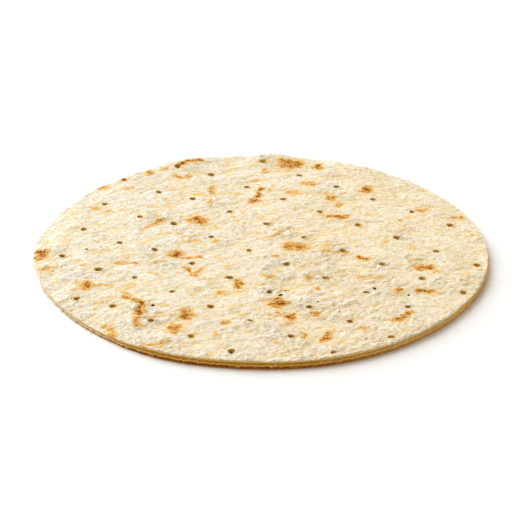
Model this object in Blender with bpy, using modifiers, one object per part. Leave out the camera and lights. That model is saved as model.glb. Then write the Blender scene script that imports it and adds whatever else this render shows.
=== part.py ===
"""A thin pizza crust: a baked, docked disc of dough that lies flat, its back edge curled up.

Everything is in metres. The base lies on z = 0 with the middle of the disc at the origin,
+X runs to the right and +Y to the back. Directions round the rim are degrees from +X.
"""

import itertools
import math
import random

import bmesh
import bpy
from mathutils import Vector, noise

MM = 0.001

# The disc
RADIUS = 153.25 * MM
THICKNESS = 6.2 * MM
RIM_WAVES = (  # waves in the outline: how many go round, their height, where one crests
    (1, 0.25 * MM, 0),
    (2, 1.2 * MM, -1),
    (3, 0.5 * MM, -4),
    (4, 0.3 * MM, 15),
    (6, 0.47 * MM, -3.2),
    (7, 0.34 * MM, -25),
)
SWELL_HEIGHT = 0.3 * MM  # the top's gentle unevenness
SWELL_LENGTH = 24 * MM

# The rim: a rounded shoulder, a cut side with a crisp ridge round it, an undercut below
SHOULDER = 0.7 * MM
RIDGE_LEVEL = 0.46  # of the thickness
RIDGE_REACH = 0.5 * MM
RIDGE_HALF_WIDTH = 0.5 * MM
RIDGE_WANDER = 0.3 * MM
RIDGE_WANDER_LENGTH = 11 * MM
SIDE_INSET = 0.4 * MM
UNDERCUT = 0.5 * MM

# Blisters that curl the rim up off the table, each with its direction, lift and half width
# in degrees
CURLS = ((111, 3.3 * MM, 13), (87, 2.9 * MM, 11), (60, 1.3 * MM, 14))
CURL_REACH = 25 * MM

# The side on which the sheet thins towards its rim and its outline lies further back
THIN_DIRECTION = -172
THIN_HALF_WIDTH = 62
THIN_FADE = 28
THIN_DROP = 2.3 * MM
THIN_REACH = 18 * MM
THIN_SHIFT = 4.4 * MM

# Docking: rows of pins on a roller, with a seam where the roller's pattern starts again
PIN_ROW_DIRECTION = 73.22
PIN_PITCH = 41.69 * MM
ROW_PITCH = 30.8 * MM
ROW_STAGGER = -11.86 * MM
FIRST_PIN_ALONG = -1.78 * MM
FIRST_PIN_ACROSS = -8.46 * MM
SEAM_ROW = -3
SEAM_ALONG = -8.26 * MM
SEAM_ACROSS = 4.11 * MM
PIN_PLAY = 0.25 * MM
PIN_SEED = 5
PIN_EDGE_MARGIN = 2 * MM
PIN_MOUTH_RADIUS = 1.9 * MM
PIN_TIP_RADIUS = 1.0 * MM
PIN_DEPTH = 4.4 * MM
PIN_OVERSHOOT = 2 * MM
LEAST_FLOOR = 0.9 * MM  # dough left under a pin

# How finely the shapes are divided
TURN_STEPS = 96
TOP_RINGS = 17
SHOULDER_STEPS = 2
PIN_SIDES = 10

CRUST_COLOR = (0.86, 0.73, 0.50, 1.0)
CRUST_ROUGHNESS = 0.9


def clear_scene():
    for obj in list(bpy.data.objects):
        bpy.data.objects.remove(obj)


def new_collection(name):
    collection = bpy.data.collections.new(name)
    bpy.context.scene.collection.children.link(collection)
    return collection


def eased(share):
    """A smooth step: 0 up to 0, 1 from 1 on."""
    share = min(max(share, 0.0), 1.0)
    return share * share * (3 - 2 * share)


def direction_of(place):
    return math.degrees(math.atan2(place[1], place[0]))


def turn_between(direction, other):
    return abs((direction - other + 180) % 360 - 180)


def thinness(direction):
    """1 on the thin side, 0 elsewhere."""
    off_middle = turn_between(direction, THIN_DIRECTION)
    return eased((THIN_HALF_WIDTH - off_middle) / THIN_FADE)


def rim_radius(direction):
    waves = (
        height * math.cos(math.radians(count * (direction - crest)))
        for count, height, crest in RIM_WAVES
    )
    shift = THIN_SHIFT * thinness(direction) * math.sin(math.radians(direction))
    return RADIUS + sum(waves) + shift


def near_rim(radius, reach):
    return eased((radius - RADIUS + reach) / reach)


def curl(radius, direction):
    """How far the blisters lift the whole sheet here."""
    lift = sum(
        height * eased(1 - turn_between(direction, middle) / half_width)
        for middle, height, half_width in CURLS
    )
    return lift * near_rim(radius, CURL_REACH)


def top_height(radius, direction):
    angle = math.radians(direction)
    spot = Vector((radius * math.cos(angle), radius * math.sin(angle), 0)) / SWELL_LENGTH
    swell = SWELL_HEIGHT * noise.noise(spot)
    drop = THIN_DROP * thinness(direction) * near_rim(radius, THIN_REACH)
    return THICKNESS + swell - drop + curl(radius, direction)


def ridge_wander(direction):
    """The ridge's rise and fall as it goes round."""
    angle = math.radians(direction)
    spot = Vector((math.cos(angle), math.sin(angle), 0)) * RADIUS / RIDGE_WANDER_LENGTH
    return RIDGE_WANDER * noise.noise(spot)


def section_of_disc():
    """Half of the section as (radius, height): top middle, over the rim, base middle."""
    flat_edge = RADIUS - SHOULDER
    points = [(flat_edge * ring / TOP_RINGS, THICKNESS) for ring in range(TOP_RINGS)]
    for step in range(SHOULDER_STEPS + 1):
        angle = math.radians(90 * step / SHOULDER_STEPS)
        out = flat_edge + SHOULDER * math.sin(angle)
        points.append((out, THICKNESS - SHOULDER * (1 - math.cos(angle))))
    ridge = RIDGE_LEVEL * THICKNESS
    points.append((RADIUS - SIDE_INSET, ridge + RIDGE_HALF_WIDTH))
    points.append((RADIUS + RIDGE_REACH, ridge))
    points.append((RADIUS - SIDE_INSET, ridge - RIDGE_HALF_WIDTH))
    points.append((RADIUS - UNDERCUT, 0))
    points += [(RADIUS - CURL_REACH * share, 0) for share in (0.35, 0.7, 1)]
    points.append((0, 0))
    return points


def turned_mesh(name, section):
    """The section turned round Z, as a closed mesh."""
    line = bpy.data.meshes.new(name + "_section")
    links = [(i, i + 1) for i in range(len(section) - 1)]
    line.from_pydata([(radius, 0, height) for radius, height in section], links, [])
    guide = bpy.data.objects.new(name + "_section", line)
    bpy.context.scene.collection.objects.link(guide)
    screw = guide.modifiers.new("turn", "SCREW")
    screw.steps = screw.render_steps = TURN_STEPS
    screw.use_merge_vertices = True
    screw.merge_threshold = 0.00001
    graph = bpy.context.evaluated_depsgraph_get()
    mesh = bpy.data.meshes.new_from_object(guide.evaluated_get(graph))
    mesh.name = name
    bpy.data.objects.remove(guide)
    return mesh


def shape_sheet(mesh):
    """Gives the turned disc its wavy outline, uneven top, curled rim and thin side."""
    for vertex in mesh.vertices:
        x, y, height = vertex.co
        radius = math.hypot(x, y)
        direction = direction_of((x, y))
        level = height / THICKNESS
        base = curl(radius, direction)
        wander = ridge_wander(direction) if radius > RADIUS else 0
        stretch = rim_radius(direction) / RADIUS
        top = top_height(radius, direction)
        vertex.co = (x * stretch, y * stretch, base + level * (top - base) + wander)


def pin_places():
    """Where the roller's pins meet the sheet, leaving out those at the very edge."""
    turn = math.radians(PIN_ROW_DIRECTION)
    along = Vector((math.cos(turn), math.sin(turn)))
    across = Vector((math.sin(turn), -math.cos(turn)))
    play = random.Random(PIN_SEED)
    most = math.ceil(2 * RADIUS / ROW_PITCH)
    for row, pin in itertools.product(range(-most, most + 1), repeat=2):
        past_seam = row <= SEAM_ROW
        down_row = FIRST_PIN_ALONG + PIN_PITCH * pin + ROW_STAGGER * row + SEAM_ALONG * past_seam
        over_rows = FIRST_PIN_ACROSS + ROW_PITCH * row + SEAM_ACROSS * past_seam
        place = along * down_row + across * over_rows
        if place.length < rim_radius(direction_of(place)) - PIN_EDGE_MARGIN:
            wobble = (play.uniform(-PIN_PLAY, PIN_PLAY), play.uniform(-PIN_PLAY, PIN_PLAY))
            yield place + Vector(wobble)


def pin_mesh():
    """One tapered pin, its tip at z = 0."""
    length = PIN_DEPTH + PIN_OVERSHOOT
    taper = (PIN_MOUTH_RADIUS - PIN_TIP_RADIUS) / PIN_DEPTH
    mesh = bpy.data.meshes.new("docking_pin")
    bm = bmesh.new()
    bmesh.ops.create_cone(
        bm,
        cap_ends=True,
        segments=PIN_SIDES,
        radius1=PIN_TIP_RADIUS,
        radius2=PIN_TIP_RADIUS + taper * length,
        depth=length,
    )
    bmesh.ops.translate(bm, verts=bm.verts, vec=(0, 0, length / 2))
    bm.to_mesh(mesh)
    bm.free()
    return mesh


def place_pins(cutters):
    mesh = pin_mesh()
    for number, place in enumerate(pin_places()):
        direction = direction_of(place)
        top = top_height(place.length, direction)
        depth = min(PIN_DEPTH, top - curl(place.length, direction) - LEAST_FLOOR)
        pin = bpy.data.objects.new(f"docking_pin_{number:02d}", mesh)
        pin.location = (place.x, place.y, top - depth)
        pin.hide_render = True
        pin.display_type = "WIRE"
        cutters.objects.link(pin)


def baked_dough():
    material = bpy.data.materials.new("baked_dough")
    material.use_nodes = True
    surface = material.node_tree.nodes["Principled BSDF"]
    surface.inputs["Base Color"].default_value = CRUST_COLOR
    surface.inputs["Roughness"].default_value = CRUST_ROUGHNESS
    surface.inputs["Metallic"].default_value = 0.0
    return material


def make_crust(parts, cutters):
    mesh = turned_mesh("crust", section_of_disc())
    shape_sheet(mesh)
    mesh.materials.clear()
    mesh.materials.append(baked_dough())
    mesh.shade_smooth()
    mesh.set_sharp_from_angle(angle=math.radians(35))
    crust = bpy.data.objects.new("crust", mesh)
    parts.objects.link(crust)
    docking = crust.modifiers.new("docking", "BOOLEAN")
    docking.operation = "DIFFERENCE"
    docking.solver = "EXACT"
    docking.operand_type = "COLLECTION"
    docking.collection = cutters


def main():
    clear_scene()
    parts = new_collection("pizza_crust")
    cutters = new_collection("cutters")
    place_pins(cutters)
    make_crust(parts, cutters)


main()
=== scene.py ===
"""A thin pizza crust's looks: a pale, flaky, docked disc of baked dough, toasted in spots.

Everything is in metres. The base lies on z = 0 with the middle of the disc at the origin,
+X runs to the right and +Y to the back. Directions round the rim are degrees from +X.
The sheet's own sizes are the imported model's; what is finer is added to them here.
"""

import itertools
import math
import random

import bmesh
import bpy
import numpy as np
from mathutils import Matrix, Vector, noise
from mathutils.bvhtree import BVHTree
from mathutils.geometry import delaunay_2d_cdt


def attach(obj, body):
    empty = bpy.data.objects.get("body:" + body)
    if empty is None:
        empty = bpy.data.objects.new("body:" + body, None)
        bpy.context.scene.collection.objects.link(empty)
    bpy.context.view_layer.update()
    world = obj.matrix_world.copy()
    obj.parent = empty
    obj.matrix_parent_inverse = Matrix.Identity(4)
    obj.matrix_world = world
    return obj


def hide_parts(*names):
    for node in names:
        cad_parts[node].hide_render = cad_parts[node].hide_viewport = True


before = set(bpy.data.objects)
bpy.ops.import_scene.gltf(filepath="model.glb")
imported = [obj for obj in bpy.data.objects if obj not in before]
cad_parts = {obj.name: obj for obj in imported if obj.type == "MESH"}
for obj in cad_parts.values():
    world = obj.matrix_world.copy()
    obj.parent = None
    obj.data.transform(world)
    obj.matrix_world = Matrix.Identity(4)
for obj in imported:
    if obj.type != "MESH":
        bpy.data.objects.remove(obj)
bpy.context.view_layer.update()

MM = 0.001

# The disc
RADIUS = 153.25 * MM
THICKNESS = 6.2 * MM
RIM_WAVES = (  # in the outline: how many go round, their height in millimetres, where one crests
    (1, 0.25, 0), (2, 1.2, -1), (3, 0.5, -4), (4, 0.3, 15), (6, 0.47, -3.2), (7, 0.34, -25),
)
RIM_BUMPS = (  # the outline's bulges and dips: direction, reach in millimetres, half width
    (0, -1.1, 55), (-7, -0.3, 9), (-27, -0.5, 18), (42.5, 1.0, 8), (52.5, -1.2, 1.6),
    (62, -0.7, 3.5), (77, 0.6, 14), (92, -2.0, 4.5), (97.5, 2.4, 4.5), (109, -1.3, 7),
    (127, 0.9, 5), (132.5, -0.7, 3), (142, 1.3, 7), (155.5, 1.2, 5), (173, 1.6, 6),
    (-178.5, 1.0, 8), (-170, -0.7, 9), (-161, 0.5, 8),
)
SWELL_HEIGHT = 0.3 * MM
SWELL_LENGTH = 24 * MM

# The rim: a rounded shoulder, a cut side with a crisp ridge round it, an undercut below
SHOULDER = 0.7 * MM
RIDGE_LEVEL = 0.46  # of the thickness
RIDGE_REACH = 0.5 * MM
RIDGE_HALF_WIDTH = 0.5 * MM
RIDGE_SHARPNESS = 1.4
RIDGE_WANDER = 0.3 * MM
RIDGE_WANDER_LENGTH = 11 * MM
SIDE_INSET = 0.4 * MM
FOOT_FLARE = 0.3 * MM  # how far the lower skin stands out at the very foot
FOOT_HEIGHT = 1.0 * MM
UNDERCUT = 0.5 * MM
BURR_REACH = 0.95 * MM  # how unevenly the ridge stands out
BURR_LENGTHS = (2.6 * MM, 1.3 * MM)
FRAY_DROP = 0.6 * MM  # how far the ridge's frayed points hang down
FRAY_LEVEL = 0.25  # of the thickness, below which the fray fades out towards the foot

# Blisters that curl the rim up off the table: direction, lift in millimetres, half width
CURLS = ((111, 3.3, 13), (87, 2.9, 11), (60, 1.3, 14))
CURL_REACH = 25 * MM

# The side on which the sheet thins towards its rim and its outline lies further back
THIN_DIRECTION = -172
THIN_HALF_WIDTH = 62
THIN_FADE = 28
THIN_DROP = 2.3 * MM
THIN_REACH = 18 * MM
THIN_SHIFT = 4.4 * MM

# Docking: rows of pins on a roller, with a seam where the roller's pattern starts again
PIN_ROW_DIRECTION = 73.22
PIN_PITCH = 41.69 * MM
ROW_PITCH = 30.8 * MM
ROW_STAGGER = -11.86 * MM
FIRST_PIN_ALONG = -1.78 * MM
FIRST_PIN_ACROSS = -8.46 * MM
SEAM_ROW = -3
SEAM_ALONG = -8.26 * MM
SEAM_ACROSS = 4.11 * MM
PIN_PLAY = 0.25 * MM
PIN_SEED = 5
PIN_EDGE_MARGIN = 2 * MM
PIN_DEPTH = 4.4 * MM
LEAST_FLOOR = 0.9 * MM
PIN_BREADTHS = (0.74, 0.95)  # the least and greatest width of a hole, as a share of the usual
TAIL_DIRECTIONS = (125, 165)  # which way the pins dragged the dough as they left it
TAIL_STRENGTHS = (0.4, 0.85)
SHALLOW_PINS = ((43, -40.6), (133, -60), (84, -119), (-45, -119))  # in millimetres
SHALLOW_DEPTH = 0.45  # of a full one
SHALLOW_BREADTH = 0.95
WIDE_PINS = ((-109.6, -27),)
WIDE_BREADTH = 1.2

# How finely the sheet is divided
TOP_RINGS = 128
BASE_RINGS = 44
RIM_POINTS = 6 * TOP_RINGS
SIDE_POINTS = 1248
SHOULDER_STEPS = 4
SIDE_STEPS = 17
GRID_PLAY = 0.3 * MM  # takes the regular pattern out of the points
PIN_RINGS = (  # round each pin: the ring's radius in millimetres, its number of points
    (0.5, 8), (0.95, 16), (1.2, 20), (1.4, 20), (1.6, 20), (1.8, 20), (2.0, 20), (2.25, 20),
    (2.55, 20), (2.9, 20), (3.3, 20),
)
PIN_PATCH = 3.8 * MM
LOOSE_LEVEL = 0.8  # of the thickness, from which the skin's relief sets in
BASE_MARGIN = 4 * MM  # how far in from the foot the base has its full relief

# What the relief tree takes: sizes here in millimetres, then turns and a count
RELIEF_SIZES = {
    "Wave Height": 1.2, "Wave Length": 32, "Wave Width": 12,
    "Crease Depth": 0.38, "Crease Length": 24, "Crease Width": 8,
    "Flake Height": 0.95, "Flake Length": 20, "Flake Width": 8,
    "Crumb Height": 0.55, "Crumb Size": 2.8,
    "Rough Field": 30,
    "Blister Height": 0.9, "Blister Size": 4.0,
    "Rim Roll Height": 0.35, "Rim Roll Length": 8, "Rim Roll Reach": 9,
    "Lamina Height": 0.6, "Lamina Length": 3.4, "Lamina Thickness": 0.9,
    "Base Height": 0.45, "Base Size": 7,
    "Edge Play": 0.7, "Edge Play Size": 4,
    "Mouth Radius": 2.6, "Tip Radius": 0.7,
    "Lip Height": 0.35, "Lip Radius": 2.8, "Lip Width": 0.6,
    "Dimple Depth": 0.35, "Dimple Radius": 9,
}
RELIEF = {
    **{name: size * MM for name, size in RELIEF_SIZES.items()},
    "Crease Turn Left": math.radians(31),
    "Crease Turn Right": math.radians(10),
    "Flake Layers": 7.0,
}
PATTERN_SHIFTS = {"Wave": 3.0, "Crease": 11.0, "Flake": 23.0}  # keep the patterns apart
CREASE_BAND = 0.04  # how wide a band of the noise makes a crease
LEDGE_START = 0.7  # of a flake's layer, where its ledge begins
ROUGH_BY_RIM = 0.06  # how much rougher the skin is at the rim
ROUGH_BY_X = 0.25  # and by how much for each metre to the right and to the back
ROUGH_BY_Y = -0.7
ROUGH_RANGE = (0.46, 0.66)
LEAST_CRUMB = 0.3
BLISTER_RANGE = (0.46, 0.7)
BASE_RANGE = (0.35, 0.75)
LAYERED_LEVEL = 0.3  # of the thickness, from which the side has its full layers

# Toasted marks on the top, in millimetres: how brown each is, how wide, and the points it
# runs through
MARKS = (
    (0.9, 8, (-59.4, -5), (-57.4, -4.6)), (0.6, 4, (-53, -10.4), (-42, -9.6)),
    (0.6, 4, (-51, -24), (-45, -36), (-39, -24)), (0.8, 5, (-116.4, -47), (-116.4, -55)),
    (0.4, 4, (-123, -47), (-121, -49)), (0.5, 3.5, (-111, -51), (-100, -49.6)),
    (0.55, 3, (-98, -17.6), (-84.5, -18)), (0.3, 5, (-113, -3), (-107, 0)),
    (0.55, 4, (-90, -53), (-92, -60), (-89, -66)),
    (0.7, 4.5, (-89, -66), (-82, -71), (-78, -75), (-78, -80)),
    (0.95, 4.5, (-79, -84), (-79.6, -91)), (0.6, 4, (-79.6, -91), (-81.6, -97), (-79, -106)),
    (0.5, 3, (-83, -85), (-82, -87)), (0.5, 3, (-77, -88), (-75, -90)),
    (0.55, 5, (-100, -104), (-97, -111), (-95, -118)),
    (0.5, 4, (-75, -131), (-68, -129), (-61, -127)), (0.8, 8, (-48.4, -85.5), (-48.4, -94)),
    (0.75, 7, (-56, -105.5), (-56, -112.5)), (0.5, 4, (-30, -114), (-30, -118)),
    (0.7, 5, (-23, -100.5), (-23, -101.5)), (0.75, 5, (-15.6, -44), (-15.6, -54)),
    (0.45, 2.5, (-73, -32), (-69, -35)), (0.3, 4, (-111, -77), (-105, -73), (-99, -69)),
    (0.8, 8, (-150.5, 0.5), (-150.5, -5.5)), (0.5, 6, (-118, 64), (-118, 66)),
    (0.55, 6, (-82, 121.5), (-82, 125.5)), (0.55, 4, (-63, 120), (-58, 114.5), (-53, 119)),
    (0.35, 3, (-56, 104), (-58, 85)), (0.55, 5, (-35.6, 90), (-35.6, 101)),
    (0.5, 4, (-37, 74), (-37, 77)), (0.8, 4, (0, 98), (-2, 90), (-5, 77)),
    (0.75, 7, (-5.5, 77), (-4.5, 78)), (0.35, 4, (6, 94), (6, 97)),
    (0.3, 4, (8.4, 102), (8.4, 105)), (0.5, 5, (3, 126), (3, 129)),
    (0.8, 3, (-60, 136), (-53, 139), (-44, 141)), (0.75, 6, (41, 132), (41, 136)),
    (0.6, 3.5, (-70, 48), (-77, 39), (-84, 31)), (0.8, 11, (-46.5, 47), (-43.5, 46)),
    (0.4, 3, (0.4, 53), (-2, 49)), (0.5, 3, (-32.4, 35), (-32.4, 38)),
    (0.45, 3, (15, 31), (11, 24), (4, 20)), (0.5, 5, (-31, 14), (-31, 16)),
    (0.8, 8, (75, 96), (75, 98.5)), (0.5, 3, (75, 96), (68, 94)), (0.6, 8, (50, 81), (50, 83)),
    (0.5, 5.5, (55, 70.5), (55, 73)), (0.3, 5, (48, 87), (48, 89)), (0.5, 4, (95, 85), (95, 87)),
    (0.4, 3, (97, 70.5), (97, 71.5)), (0.45, 3, (39, 0), (49, -1), (59, -3)),
    (0.75, 4, (65, -10), (72, -13)), (0.5, 4, (9, -7.5), (9, -8.5)),
    (0.5, 5, (117, -30.5), (117, -31.5)), (0.5, 4, (27, -24.5), (27, -25.5)),
    (0.55, 4, (31, -38), (31, -42)), (0.5, 3, (37, -53.5), (37, -56.5)),
    (0.3, 4, (54, -66), (54, -66.5)), (0.3, 4, (57, -75), (57, -75.5)),
    (0.5, 5, (90, -56.5), (90, -60.5)), (0.9, 10, (10.4, -74), (10.4, -76)),
    (0.5, 2.5, (4, -91), (10, -88), (14, -92)), (0.8, 6, (19, -91.5), (19, -96.5)),
    (0.55, 6, (35.6, -89), (35.6, -91)), (0.75, 4.5, (87, -98), (92, -93), (96, -88)),
    (0.75, 4, (27.6, -116), (27.6, -121)), (0.8, 6, (40, -124), (42, -121), (43.6, -116)),
)
# Dabs of the same kind: how brown, how wide, the middle's x and y, the run to either side
DABS = (
    (0.3, 3, -89.5, -6, 4.5), (0.5, 4, -119, -21, 1), (0.35, 8, -86.5, -51.5, 0.5),
    (0.45, 8, -26.5, -61, 0.5), (0.35, 4, -14.5, -61, 0.5), (0.3, 5, -33, -42, 2),
    (0.3, 5, -46.5, -54, 2.5), (0.3, 4, -45.5, -63, 0.5), (0.45, 3, -63, -79.6, 1),
    (0.25, 5, -20, -80, 1), (0.25, 5, -14, -91, 1), (0.25, 6, -74, -8, 1),
    (0.25, 5, -29.5, -10, 1.5), (0.25, 5, -23.5, -24, 1.5), (0.55, 5, -146, -23, 3),
    (0.3, 5, -149, 15, 1), (0.3, 6, -135.5, 14, 1.5), (0.45, 4, -108, 61, 1), (0.4, 3, -135, 63, 1),
    (0.45, 5, -113, 100, 2), (0.45, 5, -72, 129, 1), (0.25, 5, -64, 97, 1), (0.3, 5, -19, 88, 1),
    (0.6, 8, 22, 91.6, 1), (0.45, 4, -13, 115, 0.5), (0.45, 4, -3, 112, 2.5),
    (0.75, 11, 21, 138.5, 4), (0.5, 8, 34, 107, 2), (0.4, 3.5, -19.5, 53, 0.5),
    (0.4, 3, -13.8, 59, 0.2), (0.4, 3.5, -8, 42, 0.5), (0.3, 4, -51.5, 21, 1.5),
    (0.25, 5, -76, 68, 1), (0.25, 5, -65, 71, 1), (0.75, 5, 53, 53, 6.5), (0.3, 5, 40, 55, 2),
    (0.45, 3, 78, 56, 2.5), (0.25, 5, 66, 67, 1), (0.45, 5, 97, 47, 0.5), (0.4, 5, 105, 51, 1.5),
    (0.7, 7, 113, 62, 0.5), (0.55, 5, 138, 51, 2.5), (0.7, 11, 23, 7, 3.5), (0.45, 7, 44, 7, 0.5),
    (0.45, 5, 103, 4, 0.5), (0.25, 5, 101, -14, 1), (0.25, 5, 59, 27, 1), (0.25, 5, 42, 25, 1),
    (0.75, 8, 109.6, -24, 3), (0.55, 5, 5, -37, 2), (0.3, 5, 55, -35, 1), (0.45, 6, 67, -39, 0.5),
    (0.45, 4, 77, -38, 3), (0.3, 5, 48, -49, 1), (0.75, 3, 15, -57, 2.5), (0.7, 6, 108, -58.4, 3),
    (0.3, 4, 116, -61.6, 0.5), (0.3, 5, 3, -73, 0.5), (0.5, 6, 67, -109, 1),
    (0.3, 4, 37, -109, 0.5), (0.3, 4, 43, -107, 0.5), (0.4, 5, 9, -128, 0.5),
    (0.4, 3, 59.6, -123, 0.3), (0.35, 4, 93, -112, 0.5), (0.3, 5, 51, -125.6, 0.5),
    (0.3, 4, 74, -78.4, 0.5), (0.3, 5, -7, -113, 1), (0.3, 5, 136, -44, 1), (0.3, 5, 137, -35, 1),
)
FAINT_MARKS = {"count": 170, "seed": 12, "brownest": 0.34, "turn": 20}
BASE_MARKS = {"count": 190, "seed": 31, "brownest": 0.85, "turn": 60, "growth": 2.2}
MARK_SPREAD = 26  # how far the marks' directions stray, in degrees
MARK_HALF_LENGTHS = (0.5, 7)  # in millimetres
MARK_WIDTHS = (1.6, 4.2)
LEAST_BROWN = 0.1
CORE_TIGHTNESS = 0.78
HALO_SHARE = 0.32
HALO_REACH = 1.9  # half widths of the mark
MARK_PLAYS = ((2.2 * MM, 5 * MM), (1.1 * MM, 2 * MM))  # how far outlines stray, over what length

# Flecks of char: where they lie, in millimetres, and how wide they are
FLECKS = (
    (-71, -79, 2.5), (12.6, -64.8, 3.1), (74.8, -55.2, 2.4), (97, -63.6, 1.7),
    (-119.5, 1.5, 2.0), (-125, -66, 1.5), (37, -73, 1.5), (50.6, -87, 1.5),
)
FLECK_SEED = 8
FLECK_BUMPS = 0.35  # how uneven a fleck is
FLECK_BUMP_LENGTH = 0.5 * MM
FLECK_BREADTHS = (0.6, 0.9)  # of its length
FLECK_HEIGHT = 0.65
WELL_ABOVE = 50 * MM

# The table, the light and the view
FLOOR_COLOR = (0.832, 0.832, 0.832, 1.0)
FLOOR_REACH = 6.0
KEY_PLACE = Vector((-4.8, 5.0, 5.4))
KEY_SIDE = 11.0
KEY_POWER = 1500
KEY_COLOR = (0.958, 0.99, 1.04)
SKY_STRENGTH = 0.54
SKY_COLOR = (1.0, 0.915, 0.775, 1.0)

CAMERA_TARGET = Vector((2.26, -21.17, 6.2)) * MM
CAMERA_DISTANCE = 1610.5 * MM
CAMERA_ELEVATION = 27.53
SENSOR_WIDTH = 36.0
LENS = 162.15

# The fine grain of the crumb
GRAIN_SIZE = 1.1 * MM
GRAIN_DEPTH = 0.75 * MM
CHAR_GRAIN_SIZE = 0.4 * MM
CHAR_GRAIN_DEPTH = 0.1 * MM
CHAR_TONES = (-0.2, 0.25)
SMOOTH_GRAIN = 0.5  # how strong the grain is where the skin is smooth
NUB_SHARE = 1.3
NUB_SCALE = 0.42
CELL_SHARE = 0.35
NET_SCALE = 0.5
NET_WIDTH = 0.2
THREAD_TURN = math.radians(28)
THREAD_STRETCH = (0.1, 0.38, 0.38)
THREAD_BAND = 0.04
THREAD_DEPTH = 0.25
WRINKLED_SCALE = 0.07
WRINKLED_RANGE = (0.42, 0.6)
HOLLOW_DEPTH = 0.1  # below the grain's middle, where its hollows begin

# How the colours are spread. A drift holds its length and its height, then the settings of its
# noise; what a colour gains by the relief, by x or by y is for each metre.
FLOUR_DRIFT = (17 * MM, 0.6, 3.0, 0.55)
# flour and painted highlight on what stands up; taken off the mottle, it also paints honey shade
# into what lies low
FLOUR_AND_LIGHT_BY_RELIEF = 400.0
# the skin is whiter towards the left and the back
WHITER_BY_X = -2.1
WHITER_BY_Y = 0.9
FLOUR_AND_HIGHLIGHT_RANGE = (0.36, 0.86)
MOTTLE_LENGTH = 4.5 * MM
MOTTLE_AND_SHADE_RANGE = (0.48, 0.8)
MOST_HONEY = 0.6
# honey along the wrinkle threads, painted shade in these creases
THREAD_HONEY_SHADE = 0.3
# where the grain's high spots get a painted highlight
HIGHLIGHT_TONES = (0.0, 0.2)
TOAST_DRIFT = (5 * MM, 1.2)
STREAK_DRIFT = (2.4 * MM, 1.6, 3.0, 0.6, 0.6)
STREAK_STRETCH = (0.5, 1.0, 1.0)
TOAST_SHARE = 0.46
TOAST_BY_GRAIN = {"Net": 0.45, "Hollow": 0.35, "Thread": 0.45}
TOAST_EDGE = (0.03, 0.2)
BAND_DRIFT = (6 * MM, 0.16, 3.0, 0.6)
SPECKLE_LENGTH = 2.4 * MM
SPECKLE_RANGE = (0.5, 0.75)
MOST_SPECKLE = 0.45
LIT_TAN_RANGE = (0.02, 0.12)  # the x over which the side is made lighter tan as painted light
MOST_LIT_TAN = 0.7
# the x over which the side is made pale as painted light
LIT_PALE_RANGE = (-0.152, -0.07)
WRAP_RANGE = (0.03, 0.11)  # how far aside the skin starts to wrap over the edge
MOST_WRAP = 0.12
SKIN_EDGE_DRIFT = (3 * MM, 0.2, 3.0, 0.6)
SKIN_EDGE = (0.95, 0.84)  # the levels at which the skin gives way to the side
MOUTH_RANGE = (0.0, 0.06)
# the depths over which the holes turn brown and darken with painted shade
PIT_SHADE_RANGE = (0.2, 0.95)
# how far the grain's tone darkens its low places and lightens its high ones: partly the crumb's own
# tone, partly painted shade and highlight
TONE_SHARE = 0.35
GLOW = {  # how the light goes through the crumb
    "Subsurface Weight": 0.45,
    "Subsurface Radius": (1.0, 0.62, 0.3),
    "Subsurface Scale": 1.3 * MM,
}
MATT = 0.9
CHAR_ROUGHNESS = 0.7
SHEEN = 0.12
FLOOR_SHEEN = 0.1


def srgb(red, green, blue):
    """A colour given as it looks, 0 to 255, in the linear values that a shader takes."""
    def linear(share):
        return share / 12.92 if share <= 0.04045 else ((share + 0.055) / 1.055) ** 2.4
    return (*(linear(value / 255) for value in (red, green, blue)), 1.0)


# Colours
WHITE = (1.0, 1.0, 1.0, 1.0)
CREAM = srgb(225, 214, 193)
# the whiter colour: flour, and painted highlight on what stands up
FLOURED_AND_LIT = srgb(227, 222, 212)
# honey also serves as painted warm shade in the skin's hollows and creases
HONEY = srgb(216, 196, 152)
# painted light: the side made pale at the left
LIT_PALE_SIDE = srgb(224, 204, 164)
# painted light: the side made lighter tan at the right
LIT_TAN_SIDE = srgb(234, 190, 116)
SIDE_CRUMB = srgb(236, 204, 146)
PIT_MOUTH = srgb(200, 160, 76)
# the brown deep in the holes, darkened past the crumb's own colour as painted shade
PIT_BROWN_AND_SHADE = srgb(50, 31, 0)
CHARRED = srgb(38, 22, 8)
SINGED = srgb(96, 62, 30)
HOLLOW_SHADE = (0.88, 0.77, 0.51, 1.0)
# painted highlight on the grain's high spots
RAISED_HIGHLIGHT = (1.05, 1.06, 1.07, 1.0)
TOASTED = (
    (0.0, HONEY),
    (0.2, srgb(222, 195, 145)),
    (0.4, srgb(213, 168, 97)),
    (0.62, srgb(188, 120, 18)),
    (0.82, srgb(142, 78, 0)),
    (1.0, srgb(100, 50, 0)),
)
SIDE_BANDS_LIT_AND_SHADED = (  # the cut side's colours from the foot up to the top; the pale band at the ridge is partly painted highlight, the dark ones under it and in the groove above it partly painted shade
    (0.0, srgb(180, 108, 14)),
    (0.3, srgb(134, 76, 4)),
    (0.4, srgb(246, 176, 76)),
    (0.48, srgb(252, 200, 104)),
    (0.56, srgb(176, 120, 0)),
    (0.76, srgb(206, 158, 44)),
    (0.95, srgb(234, 206, 138)),
)


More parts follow.
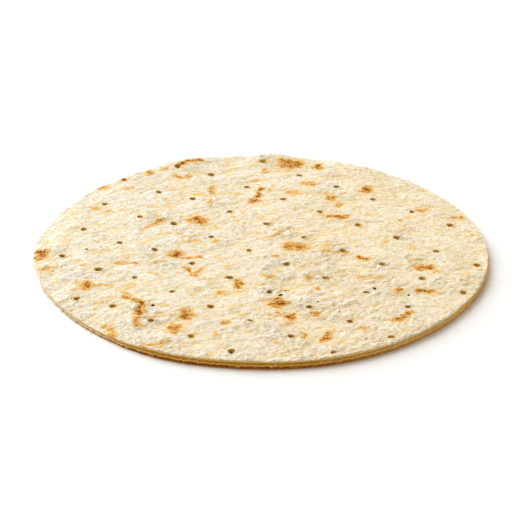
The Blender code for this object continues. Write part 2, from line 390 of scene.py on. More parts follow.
class NodeMaker:
    """Adds nodes to one tree; an input is given by name or number, as a value or a socket."""

    def __init__(self, tree):
        self.tree = tree

    def add(self, kind, inputs=(), **settings):
        made = self.tree.nodes.new(kind)
        for name, value in settings.items():
            setattr(made, name, value)
        self.fill(made, dict(inputs))
        return made

    def out(self, kind, inputs=(), **settings):
        """The first output of a new node."""
        return self.add(kind, inputs, **settings).outputs[0]

    def fill(self, node, inputs):
        for key, value in inputs.items():
            if isinstance(value, bpy.types.NodeSocket):
                self.tree.links.new(value, node.inputs[key])
            else:
                node.inputs[key].default_value = value

    def math(self, operation, *values, clamp=False):
        inputs = dict(enumerate(values))
        return self.out("ShaderNodeMath", inputs, operation=operation, use_clamp=clamp)

    def sum(self, first, *others):
        for other in others:
            first = self.math("ADD", first, other)
        return first

    def product(self, first, *others):
        for other in others:
            first = self.math("MULTIPLY", first, other)
        return first

    def swing(self, value, height):
        """A value from 0 to 1 made to run from minus to plus half the height."""
        return self.product(self.math("SUBTRACT", value, 0.5), height)

    def drift(self, place, length, height, *settings):
        """Noise of a given length that runs from minus to plus half the height."""
        return self.swing(self.noise(place, 1 / length, *settings), height)

    def per(self, length):
        return self.math("DIVIDE", 1.0, length)

    def vector(self, operation, *values):
        return self.out("ShaderNodeVectorMath", dict(enumerate(values)), operation=operation)

    def scaled(self, vector, share):
        inputs = {0: vector, "Scale": share}
        return self.add("ShaderNodeVectorMath", inputs, operation="SCALE").outputs["Vector"]

    def length(self, vector):
        return self.add("ShaderNodeVectorMath", {0: vector}, operation="LENGTH").outputs["Value"]

    def part(self, vector, axis):
        return self.add("ShaderNodeSeparateXYZ", {0: vector}).outputs[axis]

    def remap(self, value, low, high, to_low=0.0, to_high=1.0, kind="LINEAR"):
        inputs = {0: value, 1: low, 2: high, 3: to_low, 4: to_high}
        return self.out("ShaderNodeMapRange", inputs, interpolation_type=kind)

    def ease(self, *values):
        """A remap with smooth ends."""
        return self.remap(*values, kind="SMOOTHSTEP")

    def noise(self, place, scale, detail=2.0, roughness=0.5, distortion=0.0):
        """The noise's value; its colour is the second output of the same node."""
        inputs = {"Vector": place, "Scale": scale, "Detail": detail, "Roughness": roughness}
        return self.out("ShaderNodeTexNoise", inputs | {"Distortion": distortion})

    def fold(self, value, width):
        """1 along the lines where the value is a half, 0 away from them."""
        off = self.math("ABSOLUTE", self.math("SUBTRACT", value, 0.5))
        return self.ease(off, 0.0, width, 1.0, 0.0)

    def blend(self, share, first, second, kind="MIX"):
        inputs = {0: share, 6: first, 7: second}
        return self.add("ShaderNodeMix", inputs, data_type="RGBA", blend_type=kind).outputs[2]

    def ramp(self, value, stops):
        made = self.add("ShaderNodeValToRGB", {0: value})
        elements = made.color_ramp.elements
        elements.remove(elements[1])
        elements[0].color = stops[0][1]
        for share, color in stops[1:]:
            elements.new(share).color = color
        return made.outputs[0]

    def attribute(self, name):
        return self.add("ShaderNodeAttribute", attribute_name=name).outputs["Fac"]


class SurfaceMaker(NodeMaker):
    """Adds the nodes of a new material."""

    def __init__(self, name):
        self.material = bpy.data.materials.new(name)
        self.material.use_nodes = True
        super().__init__(self.material.node_tree)

    def grain(self, grain_group, size):
        """The object's own places, and the fine grain there."""
        place = self.add("ShaderNodeTexCoord").outputs["Object"]
        inputs = {"Place": place, "Grain Size": size}
        return place, self.add("ShaderNodeGroup", inputs, node_tree=grain_group).outputs

    def finish(self, color, roughness, sheen, others=()):
        inputs = {"Base Color": color, "Roughness": roughness, "Specular IOR Level": sheen}
        self.fill(self.tree.nodes["Principled BSDF"], inputs | dict(others))
        return self.material

    def bump(self, height, depth):
        inputs = {"Strength": 1.0, "Distance": depth, "Height": height}
        return self.out("ShaderNodeBump", inputs)


class SheetMaker(NodeMaker):
    """Adds the geometry nodes that lay relief over the plain sheet."""

    def __init__(self, tree):
        super().__init__(tree)
        self.size = self.add("NodeGroupInput").outputs
        self.place = self.out("GeometryNodeInputPosition")
        self.spot = self.vector("MULTIPLY", self.place, (1.0, 1.0, 0.0))

    def stored(self, name, kind="FLOAT"):
        made = self.add("GeometryNodeInputNamedAttribute", {"Name": name}, data_type=kind)
        return made.outputs["Attribute"]

    def lumps(self, name, *settings):
        """Noise over the named size."""
        return self.noise(self.place, self.per(self.size[name]), *settings)

    def drawn_out(self, name):
        """Places for a noise whose grain runs along the creases."""
        turns = self.size["Crease Turn Left"], self.size["Crease Turn Right"]
        turn = self.remap(self.part(self.place, 0), -RADIUS, RADIUS, *turns)
        inputs = {"Vector": self.place, "Angle": self.product(turn, -1.0)}
        turned = self.out("ShaderNodeVectorRotate", inputs, rotation_type="Z_AXIS")
        length, width = self.size[name + " Length"], self.size[name + " Width"]
        pitch = self.out("ShaderNodeCombineXYZ", {0: length, 1: width, 2: width})
        shift = (PATTERN_SHIFTS[name], 0.0, 0.0)
        return self.vector("ADD", self.vector("DIVIDE", turned, pitch), shift)

    def waves(self):
        return self.swing(self.noise(self.drawn_out("Wave"), 1.0), self.size["Wave Height"])

    def creases(self):
        crease = self.noise(self.drawn_out("Crease"), 1.0, 2.0, 0.5, 0.5)
        return self.product(self.fold(crease, CREASE_BAND), self.size["Crease Depth"], -1.0)

    def flakes(self):
        """Thin layers whose edges are little ledges."""
        layers = self.size["Flake Layers"]
        layer = self.noise(self.drawn_out("Flake"), 1.0, 2.0, 0.45, 0.4)
        layer = self.product(layer, layers)
        ledge = self.ease(self.math("FRACT", layer), LEDGE_START, 1.0)
        layer = self.math("DIVIDE", self.sum(self.math("FLOOR", layer), ledge), layers)
        return self.swing(layer, self.size["Flake Height"])

    def roughness(self):
        """1 where the top is nubbly, most of it at the right front and near the rim."""
        rough = self.sum(
            self.lumps("Rough Field"),
            self.product(self.near_rim(CURL_REACH), ROUGH_BY_RIM),
            self.product(self.part(self.place, 0), ROUGH_BY_X),
            self.product(self.part(self.place, 1), ROUGH_BY_Y),
        )
        return self.ease(rough, *ROUGH_RANGE)

    def crumbs(self, rough):
        crumb = self.swing(self.lumps("Crumb Size", 3.0, 0.55), self.size["Crumb Height"])
        return self.product(crumb, self.remap(rough, 0.0, 1.0, LEAST_CRUMB, 1.0))

    def near_rim(self, reach):
        start = self.math("SUBTRACT", RADIUS, reach)
        return self.ease(self.length(self.spot), start, RADIUS)

    def blisters(self, rough):
        """Small swellings on the rougher parts of the top."""
        blister = self.ease(self.lumps("Blister Size"), *BLISTER_RANGE)
        return self.product(blister, rough, self.size["Blister Height"])

    def rim_roll(self):
        roll = self.swing(self.lumps("Rim Roll Length", 3.0, 0.6), self.size["Rim Roll Height"])
        return self.product(roll, self.near_rim(self.size["Rim Roll Reach"]))

    def of_nearest_pin(self, *values):
        """What the nearest pin holds of each value, given with its kind."""
        pins = self.add("GeometryNodeObjectInfo", {"Object": self.size["Pins"]}).outputs["Geometry"]
        inputs = {"Geometry": pins, "Sample Position": self.spot}
        nearest = self.out("GeometryNodeSampleNearest", inputs, domain="POINT")
        for value, kind in values:
            inputs = {"Geometry": pins, "Index": nearest, "Value": value}
            yield self.out("GeometryNodeSampleIndex", inputs, data_type=kind, domain="POINT")

    def pin_field(self):
        """How far off the nearest pin is, less along its tail, and how deep it went."""
        pin, tail, breadth, depth = self.of_nearest_pin(
            (self.place, "FLOAT_VECTOR"),
            (self.stored("tail", "FLOAT_VECTOR"), "FLOAT_VECTOR"),
            (self.stored("breadth"), "FLOAT"),
            (self.stored("depth"), "FLOAT"),
        )
        away = self.vector("SUBTRACT", self.spot, pin)
        dot = self.add("ShaderNodeVectorMath", {0: away, 1: tail}, operation="DOT_PRODUCT")
        along = self.math("MAXIMUM", dot.outputs["Value"], 0.0)
        straight = self.math("POWER", self.length(away), 2.0)
        off = self.math("SQRT", self.math("SUBTRACT", straight, self.math("POWER", along, 2.0)))
        return self.math("DIVIDE", off, breadth), depth

    def lip_and_dimple(self, off):
        """The raised ring round a hole, and the shallow hollow that it stands in."""
        ring = self.math("SUBTRACT", off, self.size["Lip Radius"])
        ring = self.math("POWER", self.math("DIVIDE", ring, self.size["Lip Width"]), 2.0)
        lip = self.math("EXPONENT", self.product(ring, -1.0))
        dimple = self.ease(off, 0.0, self.size["Dimple Radius"], 1.0, 0.0)
        lip = self.product(lip, self.size["Lip Height"])
        return self.math("SUBTRACT", lip, self.product(dimple, self.size["Dimple Depth"]))

    def rise(self, relief, hole, depth):
        """How far each point goes up: by the relief, down into the holes, up from the base."""
        z = self.part(self.place, 2)
        raised = self.sum(z, relief)
        crown = self.sum(self.stored("crown"), relief)
        sunk = self.math("MINIMUM", raised, self.math("SUBTRACT", crown, self.product(hole, depth)))
        in_hole = self.product(self.math("GREATER_THAN", hole, 0.001), self.stored("upper"))
        change = self.math("SUBTRACT", self.remap(in_hole, 0.0, 1.0, raised, sunk), z)
        base = self.remap(self.lumps("Base Size", 3.0, 0.55), *BASE_RANGE)
        base = self.product(base, self.size["Base Height"])
        return self.sum(change, self.product(base, self.stored("under")))

    def layered_side(self):
        """Pushes the cut side in and out in thin layers."""
        length = self.size["Lamina Length"]
        thin = self.size["Lamina Thickness"]
        pitch = self.out("ShaderNodeCombineXYZ", {0: length, 1: length, 2: thin})
        lamina = self.noise(self.vector("DIVIDE", self.place, pitch), 1.0, 3.0, 0.6)
        above_foot = self.remap(self.stored("level"), 0.0, LAYERED_LEVEL)
        lamina = self.product(self.swing(lamina, self.size["Lamina Height"]),
                              self.stored("cut"), above_foot)
        outward = self.out("GeometryNodeInputNormal")
        return self.scaled(self.vector("MULTIPLY", outward, (1.0, 1.0, 0.0)), lamina)

    def sideways_play(self):
        scale = self.per(self.size["Edge Play Size"])
        stray = self.add("ShaderNodeTexNoise", {"Vector": self.spot, "Scale": scale}).outputs[1]
        stray = self.scaled(self.vector("SUBTRACT", stray, (0.5, 0.5, 0.5)), self.size["Edge Play"])
        return self.vector("MULTIPLY", stray, (1.0, 1.0, 0.0))

    def finish(self, offset, values):
        """Keeps the values for the colours, moves the points and makes the crust's surface."""
        sheet = self.size["Sheet"]
        for name, value in values.items():
            inputs = {"Geometry": sheet, "Name": name, "Value": value}
            sheet = self.out("GeometryNodeStoreNamedAttribute", inputs, data_type="FLOAT",
                             domain="POINT")
        inputs = {"Geometry": sheet, "Offset": offset}
        sheet = self.out("GeometryNodeSetPosition", inputs)
        sheet = self.out("GeometryNodeSetShadeSmooth", {0: sheet})
        sheet = self.out("GeometryNodeRealizeInstances", {0: sheet})
        inputs = {"Geometry": sheet, "Material": self.size["Dough"]}
        sheet = self.out("GeometryNodeSetMaterial", inputs)
        self.add("NodeGroupOutput", {0: sheet})


def eased(share):
    """A smooth step: 0 up to 0, 1 from 1 on."""
    share = np.clip(share, 0, 1)
    return share * share * (3 - 2 * share)


def turn_between(direction, other):
    return np.abs((direction - other + 180) % 360 - 180)


def thinness(direction):
    """1 on the thin side, 0 elsewhere."""
    off_middle = turn_between(direction, THIN_DIRECTION)
    return eased((THIN_HALF_WIDTH - off_middle) / THIN_FADE)


def rim_radius(direction):
    waves = (
        height * MM * np.cos(np.radians(count * (direction - crest)))
        for count, height, crest in RIM_WAVES
    )
    shift = THIN_SHIFT * thinness(direction) * np.sin(np.radians(direction))
    return RADIUS + sum(waves) + shift


def humps(direction, table):
    """The sum of the table's smooth humps and dips round the rim."""
    return sum(
        height * MM * eased(1 - turn_between(direction, middle) / half_width)
        for middle, height, half_width in table
    )


def near_rim(radius, reach):
    return eased((radius - RADIUS + reach) / reach)


def curl(radius, direction):
    """How far the blisters lift the whole sheet here."""
    return humps(direction, CURLS) * near_rim(radius, CURL_REACH)


def noise_at(places):
    """Smooth noise, about -1 to 1, at each row of places."""
    return np.array([noise.noise(Vector(place)) for place in places])


def flat_places(radius, direction):
    angle = np.radians(direction)
    x, y = radius * np.cos(angle), radius * np.sin(angle)
    return np.column_stack((x, y, np.zeros(len(x))))


def polar(spots):
    """Each spot's radius and direction."""
    return np.hypot(*spots.T), np.degrees(np.arctan2(spots[:, 1], spots[:, 0]))


def rim_noise(direction, length):
    """Noise that changes round the rim, over the given length."""
    return noise_at(flat_places(np.full(len(direction), RADIUS), direction) / length)


def top_height(radius, direction):
    swell = SWELL_HEIGHT * noise_at(flat_places(radius, direction) / SWELL_LENGTH)
    drop = THIN_DROP * thinness(direction) * near_rim(radius, THIN_REACH)
    return THICKNESS + swell - drop + curl(radius, direction)


def pin_places():
    """Where the roller's pins meet the sheet, leaving out those at the very edge."""
    turn = math.radians(PIN_ROW_DIRECTION)
    along = Vector((math.cos(turn), math.sin(turn)))
    across = Vector((math.sin(turn), -math.cos(turn)))
    play = random.Random(PIN_SEED)
    most = math.ceil(2 * RADIUS / ROW_PITCH)
    for row, pin in itertools.product(range(-most, most + 1), repeat=2):
        past_seam = row <= SEAM_ROW
        down_row = FIRST_PIN_ALONG + PIN_PITCH * pin + ROW_STAGGER * row + SEAM_ALONG * past_seam
        over_rows = FIRST_PIN_ACROSS + ROW_PITCH * row + SEAM_ACROSS * past_seam
        place = along * down_row + across * over_rows
        direction = math.degrees(math.atan2(place.y, place.x))
        if place.length < rim_radius(direction) - PIN_EDGE_MARGIN:
            wobble = (play.uniform(-PIN_PLAY, PIN_PLAY), play.uniform(-PIN_PLAY, PIN_PLAY))
            yield place + Vector(wobble)


def ring(radius, count, height):
    """Points round the disc as rows of radius, direction and height in the flat disc."""
    directions = np.arange(count) * 360 / count
    return np.column_stack((np.full(count, radius), directions, np.full(count, height)))


def top_rows(pins):
    """Points over the flat top, closer together round the pins, the rim's ring last."""
    play = np.random.default_rng(PIN_SEED)
    flat_edge = RADIUS - SHOULDER
    spots = [np.zeros((1, 2))]
    for number in range(1, TOP_RINGS):
        radius, directions, _ = ring(flat_edge * number / TOP_RINGS, 6 * number, 0).T
        spots.append(flat_places(radius, directions + 180 * number)[:, :2])
    spots = np.concatenate(spots)
    spots += play.uniform(-GRID_PLAY, GRID_PLAY, spots.shape)
    for pin in pins:
        spots = spots[np.hypot(*(spots - pin).T) > PIN_PATCH]
    for pin in pins:
        patch = [pin[None]]
        for radius, count in PIN_RINGS:
            patch.append(flat_places(*ring(radius * MM, count, 0).T[:2])[:, :2] + pin)
        spots = np.concatenate([spots, *patch])
    radius, direction = polar(spots)
    inside = radius < flat_edge - GRID_PLAY
    rows = np.column_stack((radius, direction, np.full(len(spots), THICKNESS)))[inside]
    return np.concatenate([rows, ring(flat_edge, RIM_POINTS, THICKNESS)])


def side_radius(height):
    """The cut side's radius at a height: a neck, a ridge that stands out, a foot drawn in."""
    off_ridge = height - RIDGE_LEVEL * THICKNESS
    width = RIDGE_HALF_WIDTH / RIDGE_SHARPNESS
    ridge = (RIDGE_REACH + SIDE_INSET) * math.exp(-((off_ridge / width) ** 2))
    below = max(-off_ridge, 0) / (RIDGE_LEVEL * THICKNESS)
    neck = SIDE_INSET * eased((THICKNESS - SHOULDER - height) / (2 * RIDGE_HALF_WIDTH))
    flare = FOOT_FLARE * eased(1 - height / FOOT_HEIGHT)
    return RADIUS - neck - (UNDERCUT - SIDE_INSET) * below**2 + ridge + flare


def side_rings():
    """Rings down the rim, from the rounded shoulder to the foot."""
    for step in range(1, SHOULDER_STEPS + 1):
        angle = math.radians(90 * step / SHOULDER_STEPS)
        out = RADIUS - SHOULDER * (1 - math.sin(angle))
        yield ring(out, SIDE_POINTS, THICKNESS - SHOULDER * (1 - math.cos(angle)))
    for step in range(1, SIDE_STEPS + 1):
        height = (THICKNESS - SHOULDER) * (1 - step / SIDE_STEPS)
        yield ring(side_radius(height), SIDE_POINTS, height)


def base_rings():
    foot = RADIUS - UNDERCUT
    for number in range(BASE_RINGS - 1, -1, -1):
        yield ring(foot * number / BASE_RINGS, max(6 * number, 1), 0)


def stitch(upper, lower):
    """Triangles between two closed rows of points, given by their numbers."""
    faces = []
    i = j = 0
    while i < len(upper) or j < len(lower):
        here, below = upper[i % len(upper)], lower[j % len(lower)]
        step_below = (j + 1) * len(upper) <= (i + 1) * len(lower)
        if i == len(upper) or (step_below and j < len(lower)):
            j += 1
            corner = lower[j % len(lower)]
        else:
            i += 1
            corner = upper[i % len(upper)]
        if corner not in (here, below):
            faces.append((here, below, corner))
    return faces


def shaped(rows):
    """The rows of the flat disc as places on the wavy, curled sheet, and its top's height there."""
    radius, direction, height = rows.T
    level = height / THICKNESS
    base, crown = curl(radius, direction), top_height(radius, direction)
    out = eased((radius - RADIUS + SIDE_INSET) / (RIDGE_REACH + SIDE_INSET))
    on_ridge = out * (level < 1 - SHOULDER / THICKNESS) * eased(level / FRAY_LEVEL)
    fray = on_ridge * sum(rim_noise(direction, length) for length in BURR_LENGTHS)
    burr = BURR_REACH * fray
    wander = RIDGE_WANDER * rim_noise(direction, RIDGE_WANDER_LENGTH) * on_ridge
    wander -= FRAY_DROP * fray
    bulge = humps(direction, RIM_BUMPS) * near_rim(radius, CURL_REACH)
    stretched = (radius + burr) * rim_radius(direction) / RADIUS + bulge
    places = flat_places(stretched, direction)
    places[:, 2] = base + level * (crown - base) + wander
    return places, crown


def sheet_faces(top, rings):
    """Triangles over the top, then from ring to ring down the side and in over the base."""
    flat = flat_places(top[:, 0], top[:, 1])
    _, _, faces, *_ = delaunay_2d_cdt([Vector(place[:2]) for place in flat], [], [], 0, 0.0, True)
    upper = range(len(top) - RIM_POINTS, len(top))
    for lower_ring in rings:
        lower = range(upper.stop, upper.stop + len(lower_ring))
        faces += stitch(upper, lower)
        upper = lower
    return faces


def sheet_mesh(pins):
    """The plain closed sheet, before its relief, with what the relief and the colours need."""
    top, side, base = top_rows(pins), list(side_rings()), list(base_rings())
    rows = np.concatenate([top, *side, *base])
    places, crown = shaped(rows)
    mesh = bpy.data.meshes.new("crust_sheet")
    mesh.from_pydata(places.tolist(), [], sheet_faces(top, side + base))
    number = np.arange(len(rows))
    on_top = number < len(top)
    on_base = number >= len(rows) - sum(map(len, base))
    level = rows[:, 2] / THICKNESS
    add_values(mesh, "crown", crown)
    add_values(mesh, "level", level)
    add_values(mesh, "upper", 1.0 - on_base)
    loose = eased((level - LOOSE_LEVEL) / (1 - LOOSE_LEVEL))
    add_values(mesh, "loose", np.where(on_top, 1.0, loose))
    add_values(mesh, "cut", 1.0 - on_top - on_base)
    inward = RADIUS - UNDERCUT - rows[:, 0]
    add_values(mesh, "under", on_base * eased(inward / BASE_MARGIN))
    add_values(mesh, "toast", toast(places, on_base))
    return mesh


def placed(name, data):
    """A new object in the scene."""
    made = bpy.data.objects.new(name, data)
    bpy.context.scene.collection.objects.link(made)
    return made


def add_values(mesh, name, values):
    mesh.attributes.new(name, "FLOAT", "POINT").data.foreach_set("value", values)


def strayed(places):
    """The places moved a little sideways, so that what is drawn there gets an uneven outline."""
    spots = places[:, :2].copy()
    for reach, length in MARK_PLAYS:
        moved = [noise.noise_vector(Vector(place) / length) for place in places]
        spots += reach * np.array(moved)[:, :2]
    return spots


def distance_to(path, spots):
    """How far each spot is from the path."""
    nearest = np.full(len(spots), np.inf)
    for start, end in itertools.pairwise(np.array(path) * MM):
        run = end - start
        share = np.clip((spots - start) @ run / (run @ run), 0, 1)
        nearest = np.minimum(nearest, np.hypot(*(spots - start - share[:, None] * run).T))
    return nearest


def add_mark(heat, spots, brown, width, path):
    off = distance_to(path, spots) / (width * MM / 2)
    core = np.exp(-((CORE_TIGHTNESS * off) ** 3))
    halo = HALO_SHARE * np.exp(-((off / HALO_REACH) ** 2))
    np.maximum(heat, brown * np.maximum(core, halo), out=heat)


def chance_marks(count, seed, brownest, turn, growth=1):
    """Marks by chance, as drawn out as the dough's creases."""
    chance = random.Random(seed)
    for _ in range(count):
        radius = RADIUS / MM * math.sqrt(chance.random())
        angle = chance.uniform(0, 2 * math.pi)
        lie = math.radians(turn + chance.gauss(0, MARK_SPREAD))
        half = chance.uniform(*MARK_HALF_LENGTHS)
        x, y = radius * math.cos(angle), radius * math.sin(angle)
        reach = (half * math.cos(lie), half * math.sin(lie))
        path = ((x - reach[0], y - reach[1]), (x + reach[0], y + reach[1]))
        brown = chance.uniform(LEAST_BROWN, brownest)
        yield brown, growth * chance.uniform(*MARK_WIDTHS), *path


def toast(places, on_base):
    """How brown the skin is at each place, from 0 to 1."""
    spots = strayed(places)
    dabs = (
        (brown, width, (x - half, y), (x + half, y)) for brown, width, x, y, half in DABS
    )
    top_marks = itertools.chain(MARKS, dabs, chance_marks(**FAINT_MARKS))
    base_marks = chance_marks(**BASE_MARKS)
    heat = np.zeros(len(places))
    for marks, side in ((top_marks, ~on_base), (base_marks, on_base)):
        part = heat[side]
        for brown, width, *path in marks:
            add_mark(part, spots[side], brown, width, path)
        heat[side] = part
    return heat


def relief_tree():
    """Lays waves, creases, flakes and crumbs over a sheet, then docks it with pins."""
    tree = bpy.data.node_groups.new("flaky docked dough", "GeometryNodeTree")
    sockets = {"Sheet": "Geometry", "Pins": "Object", "Dough": "Material"}
    sockets.update(dict.fromkeys(RELIEF, "Float"))
    for name, kind in sockets.items():
        tree.interface.new_socket(name, in_out="INPUT", socket_type="NodeSocket" + kind)
    tree.interface.new_socket("Crust", in_out="OUTPUT", socket_type="NodeSocketGeometry")
    make = SheetMaker(tree)
    off, depth = make.pin_field()
    rough = make.roughness()
    relief = make.sum(
        make.waves(), make.creases(), make.flakes(), make.crumbs(rough), make.blisters(rough),
        make.rim_roll(), make.lip_and_dimple(off),
    )
    relief = make.product(relief, make.stored("loose"))
    tip, mouth = make.size["Tip Radius"], make.size["Mouth Radius"]
    hole = make.ease(off, tip, mouth, 1.0, 0.0)
    upward = make.out("ShaderNodeCombineXYZ", {2: make.rise(relief, hole, depth)})
    offset = make.vector("ADD", upward, make.layered_side())
    offset = make.vector("ADD", offset, make.sideways_play())
    pit = make.product(hole, make.math("DIVIDE", depth, PIN_DEPTH), make.stored("upper"))
    make.finish(offset, {"relief": relief, "pit": pit, "rough": rough})
    return tree


def nearest_pin(pins, place):
    """The number of the pin nearest to a place in millimetres."""
    return np.argmin(np.hypot(*(pins - np.array(place) * MM).T))


def pin_guide(pins):
    """The pins' places as bare points, each with its depth, breadth and tail."""
    radius, direction = polar(pins)
    room = top_height(radius, direction) - curl(radius, direction) - LEAST_FLOOR
    depth = np.minimum(PIN_DEPTH, room)
    chance = np.random.default_rng(PIN_SEED)
    breadth = chance.uniform(*PIN_BREADTHS, len(pins))
    tail_turn = np.radians(chance.uniform(*TAIL_DIRECTIONS, len(pins)))
    tail = np.column_stack((np.cos(tail_turn), np.sin(tail_turn), np.zeros(len(pins))))
    tail *= chance.uniform(*TAIL_STRENGTHS, len(pins))[:, None]
    for place in SHALLOW_PINS:
        depth[nearest_pin(pins, place)] *= SHALLOW_DEPTH
        breadth[nearest_pin(pins, place)] = SHALLOW_BREADTH
    for place in WIDE_PINS:
        breadth[nearest_pin(pins, place)] = WIDE_BREADTH
    mesh = bpy.data.meshes.new("docking_pins")
    mesh.from_pydata(np.column_stack((pins, np.zeros(len(pins)))).tolist(), [], [])
    add_values(mesh, "depth", depth)
    add_values(mesh, "breadth", breadth)
    mesh.attributes.new("tail", "FLOAT_VECTOR", "POINT").data.foreach_set("vector", tail.ravel())
    return placed("docking_pins", mesh)


def make_crust(dough):
    pins = np.array([tuple(place) for place in pin_places()])
    guide = pin_guide(pins)
    draft = placed("crust_draft", sheet_mesh(pins))
    modifier = draft.modifiers.new("relief", "NODES")
    tree = relief_tree()
    values = {**RELIEF, "Pins": guide, "Dough": dough}
    for socket in tree.interface.items_tree:
        if socket.name in values:
            modifier[socket.identifier] = values[socket.name]
    modifier.node_group = tree
    graph = bpy.context.evaluated_depsgraph_get()
    mesh = bpy.data.meshes.new_from_object(draft.evaluated_get(graph))
    mesh.name = "baked_crust"
    bpy.data.objects.remove(draft)
    bpy.data.objects.remove(guide)
    return placed("baked_crust", mesh)


def grain_threads(make, place, scale):
    """Thin lines where the dough wrinkled."""
    inputs = {"Vector": place, "Angle": -THREAD_TURN}
    turned = make.out("ShaderNodeVectorRotate", inputs, rotation_type="Z_AXIS")
    drawn = make.vector("MULTIPLY", turned, THREAD_STRETCH)
    thread = make.fold(make.noise(drawn, scale, 3.0, 0.6, 0.5), THREAD_BAND)
    wrinkled = make.noise(place, make.product(scale, WRINKLED_SCALE))
    return make.product(thread, make.remap(wrinkled, *WRINKLED_RANGE))


def grain_net(make, place, scale, grain_size):
    """A net of lines round the grains."""
    stray = make.add("ShaderNodeTexNoise", {"Vector": place, "Scale": scale}).outputs[1]
    stray = make.vector("ADD", place, make.scaled(stray, grain_size))
    inputs = {"Vector": stray, "Scale": make.product(scale, NET_SCALE)}
    net = make.out("ShaderNodeTexVoronoi", inputs, feature="DISTANCE_TO_EDGE")
    return make.remap(net, 0.0, NET_WIDTH, 1.0, 0.0)


def fine_grain():
    """Fine crumb: its tone and height, its hollows, a net round it, threads where it wrinkled."""
    tree = bpy.data.node_groups.new("fine grain", "ShaderNodeTree")
    for name, kind in (("Place", "Vector"), ("Grain Size", "Float")):
        tree.interface.new_socket(name, in_out="INPUT", socket_type="NodeSocket" + kind)
    for name in ("Tone", "Height", "Hollow", "Net", "Thread"):
        tree.interface.new_socket(name, in_out="OUTPUT", socket_type="NodeSocketFloat")
    make = NodeMaker(tree)
    given = make.add("NodeGroupInput").outputs
    place, scale = given["Place"], make.per(given["Grain Size"])
    grain = make.noise(place, scale, 3.0, 0.62)
    cells = make.out("ShaderNodeTexVoronoi", {"Vector": place, "Scale": scale})
    nubs = make.product(make.noise(place, make.product(scale, NUB_SCALE), 1.0), NUB_SHARE)
    thread = grain_threads(make, place, scale)
    height = make.math("SUBTRACT", make.sum(grain, nubs), make.product(cells, CELL_SHARE))
    height = make.math("SUBTRACT", height, make.product(thread, THREAD_DEPTH))
    outputs = {
        "Tone": make.math("SUBTRACT", grain, 0.5),
        "Height": height,
        "Hollow": make.remap(height, 0.5 * (1 + NUB_SHARE) - HOLLOW_DEPTH, 0.5 * NUB_SHARE),
        "Net": grain_net(make, place, scale, given["Grain Size"]),
        "Thread": thread,
    }
    make.add("NodeGroupOutput", outputs)
    return tree


def pale_skin(make, place, relief, grain):
    """The skin where it isn't toasted: floury, with painted highlight on what stands up and painted
    honey shade in the hollows.
    """
    x = make.part(place, 0)
    y = make.part(place, 1)
    # by the relief: floury and painted highlight up high, painted shade down low
    raised = make.product(relief, FLOUR_AND_LIGHT_BY_RELIEF)
    broad = make.drift(place, *FLOUR_DRIFT)
    flour_and_highlight = make.sum(0.5, broad, raised, make.product(x, WHITER_BY_X), make.product(y, WHITER_BY_Y))
    pale = make.blend(make.remap(flour_and_highlight, *FLOUR_AND_HIGHLIGHT_RANGE), CREAM, FLOURED_AND_LIT)
    mottle_and_shade = make.noise(place, 1 / MOTTLE_LENGTH, 4.0, 0.65, 0.5)
    # taking the relief off the mottle paints honey shade into the low places
    mottle_and_shade = make.math("SUBTRACT", mottle_and_shade, raised)
    pale = make.blend(make.remap(mottle_and_shade, *MOTTLE_AND_SHADE_RANGE, 0.0, MOST_HONEY), pale, HONEY)
    # painted honey shade along the wrinkle threads
    pale = make.blend(make.product(grain["Thread"], THREAD_HONEY_SHADE), pale, HONEY)
    # painted highlight on the grain's high spots
    highlight = make.blend(make.remap(grain["Tone"], *HIGHLIGHT_TONES), WHITE, RAISED_HIGHLIGHT)
    pale = make.blend(1.0, pale, highlight, "MULTIPLY")
    return make.blend(1.0, pale, make.blend(grain["Hollow"], WHITE, HOLLOW_SHADE), "MULTIPLY")


def toasted_skin(make, place, pale, grain):
    """Golden marks with an uneven, thready edge over the pale skin."""
    patchy = make.drift(place, *TOAST_DRIFT)
    streaks = make.drift(make.vector("MULTIPLY", place, STREAK_STRETCH), *STREAK_DRIFT)
    grained = (make.product(grain[name], share) for name, share in TOAST_BY_GRAIN.items())
    share = make.sum(TOAST_SHARE, patchy, streaks, *grained)
    heat = make.math("MULTIPLY", make.attribute("toast"), share, clamp=True)
    toasted = make.ease(heat, *TOAST_EDGE)
    return make.blend(toasted, pale, make.ramp(heat, TOASTED))


def side_color(make, place):
    """The cut side's colour in layers with painted highlight and shade, made lighter tan at the
    right and pale at the left where the edge is thin, both as painted light.
    """
    level = make.attribute("level")
    # painted highlight at the ridge, painted shade below it and in the groove above it
    lit_side_bands = make.ramp(make.sum(level, make.drift(place, *BAND_DRIFT)), SIDE_BANDS_LIT_AND_SHADED)
    speckle = make.noise(place, 1 / SPECKLE_LENGTH, 3.0, 0.6)
    speckle = make.remap(speckle, *SPECKLE_RANGE, 0.0, MOST_SPECKLE)
    lit_side_bands = make.blend(speckle, lit_side_bands, SIDE_CRUMB)
    x = make.part(place, 0)
    # painted light: lighter tan towards the right
    lit_side_bands = make.blend(make.ease(x, *LIT_TAN_RANGE, 0.0, MOST_LIT_TAN), lit_side_bands, LIT_TAN_SIDE)
    # painted light: pale towards the left
    return make.blend(make.ease(x, *LIT_PALE_RANGE, 1.0, 0.0), lit_side_bands, LIT_PALE_SIDE)


def side_share(make, place):
    """1 on the cut side, 0 on the skin, which wraps further over the edge at left and right."""
    aside = make.math("ABSOLUTE", make.part(place, 0))
    wrapped = make.ease(aside, *WRAP_RANGE, 0.0, MOST_WRAP)
    uneven = make.drift(place, *SKIN_EDGE_DRIFT)
    level = make.sum(make.attribute("level"), wrapped, uneven)
    below_top = make.ease(level, *SKIN_EDGE)
    return make.product(make.attribute("cut"), below_top)


def hole_color(make, color):
    """The colour, turned golden at the mouths of the holes and brown down in them, darkening with
    depth as painted shade.
    """
    pit = make.attribute("pit")
    color = make.blend(make.remap(pit, *MOUTH_RANGE), color, PIT_MOUTH)
    return make.blend(make.remap(pit, *PIT_SHADE_RANGE), color, PIT_BROWN_AND_SHADE)


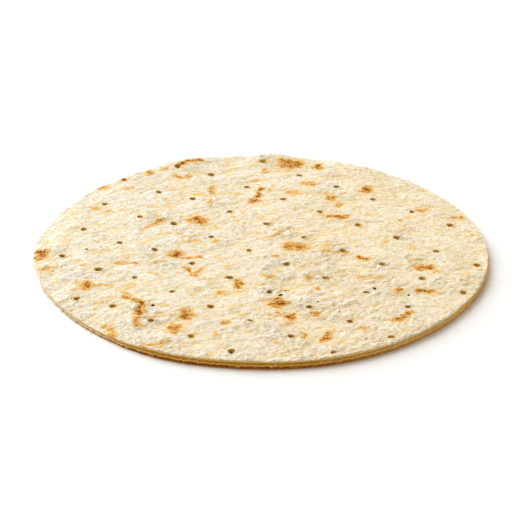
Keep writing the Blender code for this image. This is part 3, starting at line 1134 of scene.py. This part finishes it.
def baked_dough(grain_group):
    """Pale dough, floury with painted highlight on what stands up and painted shade in its hollows,
    golden to brown where it has toasted.
    """
    make = SurfaceMaker("baked_dough")
    place, grain = make.grain(grain_group, GRAIN_SIZE)
    pale = pale_skin(make, place, make.attribute("relief"), grain)
    color = toasted_skin(make, place, pale, grain)
    color = make.blend(side_share(make, place), color, side_color(make, place))
    # the grain's tone follows its height, so this is partly painted shade and highlight
    tone = make.sum(1.0, make.product(grain["Tone"], TONE_SHARE))
    color = make.blend(1.0, hole_color(make, color), tone, "MULTIPLY")
    strength = make.remap(make.attribute("rough"), 0.0, 1.0, SMOOTH_GRAIN, 1.0)
    normal = make.bump(make.product(grain["Height"], strength), GRAIN_DEPTH)
    return make.finish(color, MATT, SHEEN, {"Normal": normal, **GLOW})


def char(grain_group):
    """Burnt crumbs, nearly black."""
    make = SurfaceMaker("char")
    _, grain = make.grain(grain_group, CHAR_GRAIN_SIZE)
    color = make.blend(make.remap(grain["Tone"], *CHAR_TONES), CHARRED, SINGED)
    normal = make.bump(grain["Height"], CHAR_GRAIN_DEPTH)
    return make.finish(color, CHAR_ROUGHNESS, SHEEN, {"Normal": normal})


def make_flecks(crust, material):
    """Little lumps of char, half sunk in the top."""
    chance = random.Random(FLECK_SEED)
    ground = BVHTree.FromObject(crust, bpy.context.evaluated_depsgraph_get())
    bm = bmesh.new()
    for x, y, width in FLECKS:
        spot, *_ = ground.ray_cast(Vector((x * MM, y * MM, WELL_ABOVE)), Vector((0, 0, -1)))
        made = bmesh.ops.create_icosphere(bm, subdivisions=3, radius=width * MM / 2)["verts"]
        turn = Matrix.Rotation(chance.uniform(0, math.pi), 4, "Z")
        squash = Matrix.Diagonal((1, chance.uniform(*FLECK_BREADTHS), FLECK_HEIGHT, 1))
        seed = Vector((chance.uniform(0, 9), chance.uniform(0, 9), 0))
        for vert in made:
            vert.co *= 1 + FLECK_BUMPS * noise.noise(vert.co / FLECK_BUMP_LENGTH + seed)
        bmesh.ops.transform(bm, matrix=Matrix.Translation(spot) @ turn @ squash, verts=made)
    mesh = bpy.data.meshes.new("char_flecks")
    bm.to_mesh(mesh)
    bm.free()
    mesh.shade_smooth()
    mesh.materials.append(material)
    return placed("char_flecks", mesh)


def make_floor():
    mesh = bpy.data.meshes.new("floor")
    corners = [(-1, -1, 0), (1, -1, 0), (1, 1, 0), (-1, 1, 0)]
    mesh.from_pydata([Vector(corner) * FLOOR_REACH for corner in corners], [], [(0, 1, 2, 3)])
    make = SurfaceMaker("white_table")
    mesh.materials.append(make.finish(FLOOR_COLOR, MATT, FLOOR_SHEEN))
    return placed("floor", mesh)


def make_lights():
    """One wide lamp, a soft sky and a white backdrop."""
    lamp = bpy.data.lights.new("key", "AREA")
    lamp.energy = KEY_POWER
    lamp.size = KEY_SIDE
    lamp.color = KEY_COLOR
    key = placed("key", lamp)
    key.location = KEY_PLACE
    key.rotation_euler = (-KEY_PLACE).to_track_quat("-Z", "Y").to_euler()
    world = bpy.data.worlds.new("studio")
    world.use_nodes = True
    bpy.context.scene.world = world
    make = NodeMaker(world.node_tree)
    seen = make.add("ShaderNodeLightPath").outputs["Is Camera Ray"]
    color = make.blend(seen, SKY_COLOR, WHITE)
    strength = make.remap(seen, 0.0, 1.0, SKY_STRENGTH, 1.0)
    make.fill(world.node_tree.nodes["Background"], {"Color": color, "Strength": strength})


def make_camera():
    lens = bpy.data.cameras.new("camera")
    lens.sensor_width = SENSOR_WIDTH
    lens.lens = LENS
    camera = placed("camera", lens)
    rise = math.radians(CAMERA_ELEVATION)
    back = Vector((0, -math.cos(rise), math.sin(rise)))
    camera.location = CAMERA_TARGET + CAMERA_DISTANCE * back
    camera.rotation_euler = (-back).to_track_quat("-Z", "Y").to_euler()
    bpy.context.scene.camera = camera
    bpy.context.scene.view_settings.view_transform = "Standard"


def main():
    make_camera()
    make_lights()
    make_floor()
    grain_group = fine_grain()
    crust = make_crust(baked_dough(grain_group))
    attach(crust, "root")
    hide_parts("crust")
    flecks = make_flecks(crust, char(grain_group))
    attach(flecks, "root")


main()
